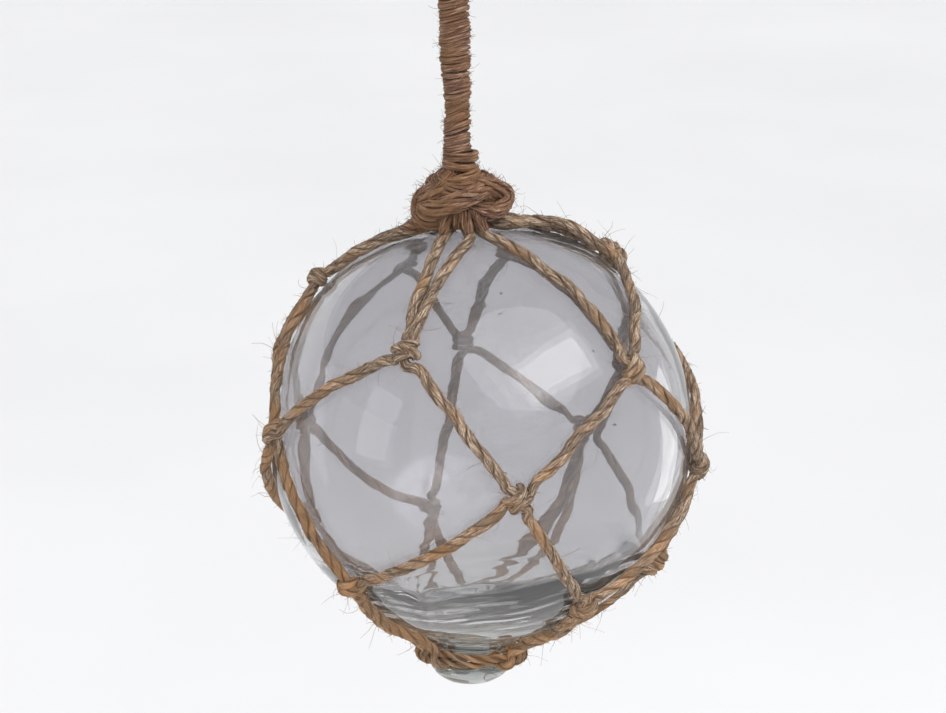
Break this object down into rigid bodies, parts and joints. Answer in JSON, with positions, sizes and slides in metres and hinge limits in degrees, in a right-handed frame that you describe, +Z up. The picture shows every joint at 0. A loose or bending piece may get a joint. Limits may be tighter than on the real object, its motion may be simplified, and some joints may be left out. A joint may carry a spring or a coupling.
{
  "type": "glass float ball",
  "caption": "Clear blown-glass float ball held in a knotted jute net, hung by a served jute rope with an eye at its top.",
  "frame": {"origin": "where a hook bears: the underside of the crown of the hanger's eye", "axes": "+Z up along the hanger, -Y to the front, +X to the ball's right; the ball hangs below the origin"},
  "size_m": [0.1591, 0.1633, 0.3024],
  "materials": {
    "glass": "clear blown glass, fire polished, faintly wavy, with seeds and cords near the seal",
    "net_twine": "golden brown two-ply jute twine, hairy",
    "hanger_twine": "greyer brown jute, loosely laid and wrapped",
    "eye_rope": "brown three-ply jute rope"
  },
  "bodies": {
    "root": {"glass_ball": "glass", "net": "net_twine", "bottom_ring": "net_twine", "collar_knot": "hanger_twine", "hanger_rope": "hanger_twine", "hanger_eye": "eye_rope"}
  },
  "joints": []
}
